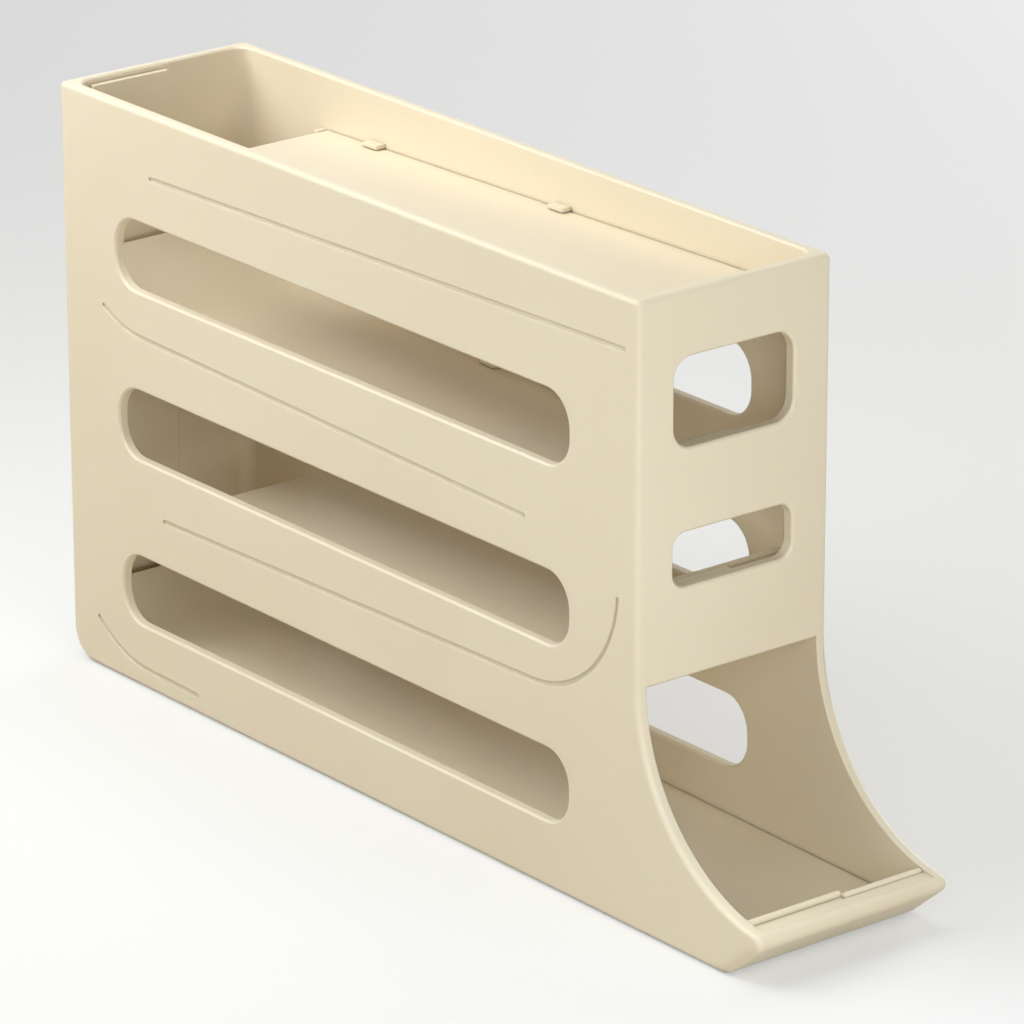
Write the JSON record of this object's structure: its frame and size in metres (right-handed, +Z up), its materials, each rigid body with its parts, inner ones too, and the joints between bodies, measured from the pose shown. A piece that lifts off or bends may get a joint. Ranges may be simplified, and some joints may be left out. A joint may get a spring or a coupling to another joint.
{
  "type": "egg holder",
  "caption": "Tall narrow egg holder: an open-topped case with side slots and front windows holds zigzag ramps that roll eggs down to a scooped front mouth with a lip.",
  "frame": {"origin": "on the surface that the holder stands on, under the middle of its whole width and length", "axes": "X across the width, Y along the length with the mouth and lip towards -Y, +Z up"},
  "size_m": [0.0816, 0.382, 0.217],
  "materials": {
    "shell": "satin moulded",
    "ramp": "satin moulded"
  },
  "bodies": {
    "root": {"left_shell": "shell", "right_shell": "shell", "top_ramp": "ramp", "second_ramp": "ramp", "third_ramp": "ramp", "floor_ramp": "ramp"}
  },
  "joints": []
}
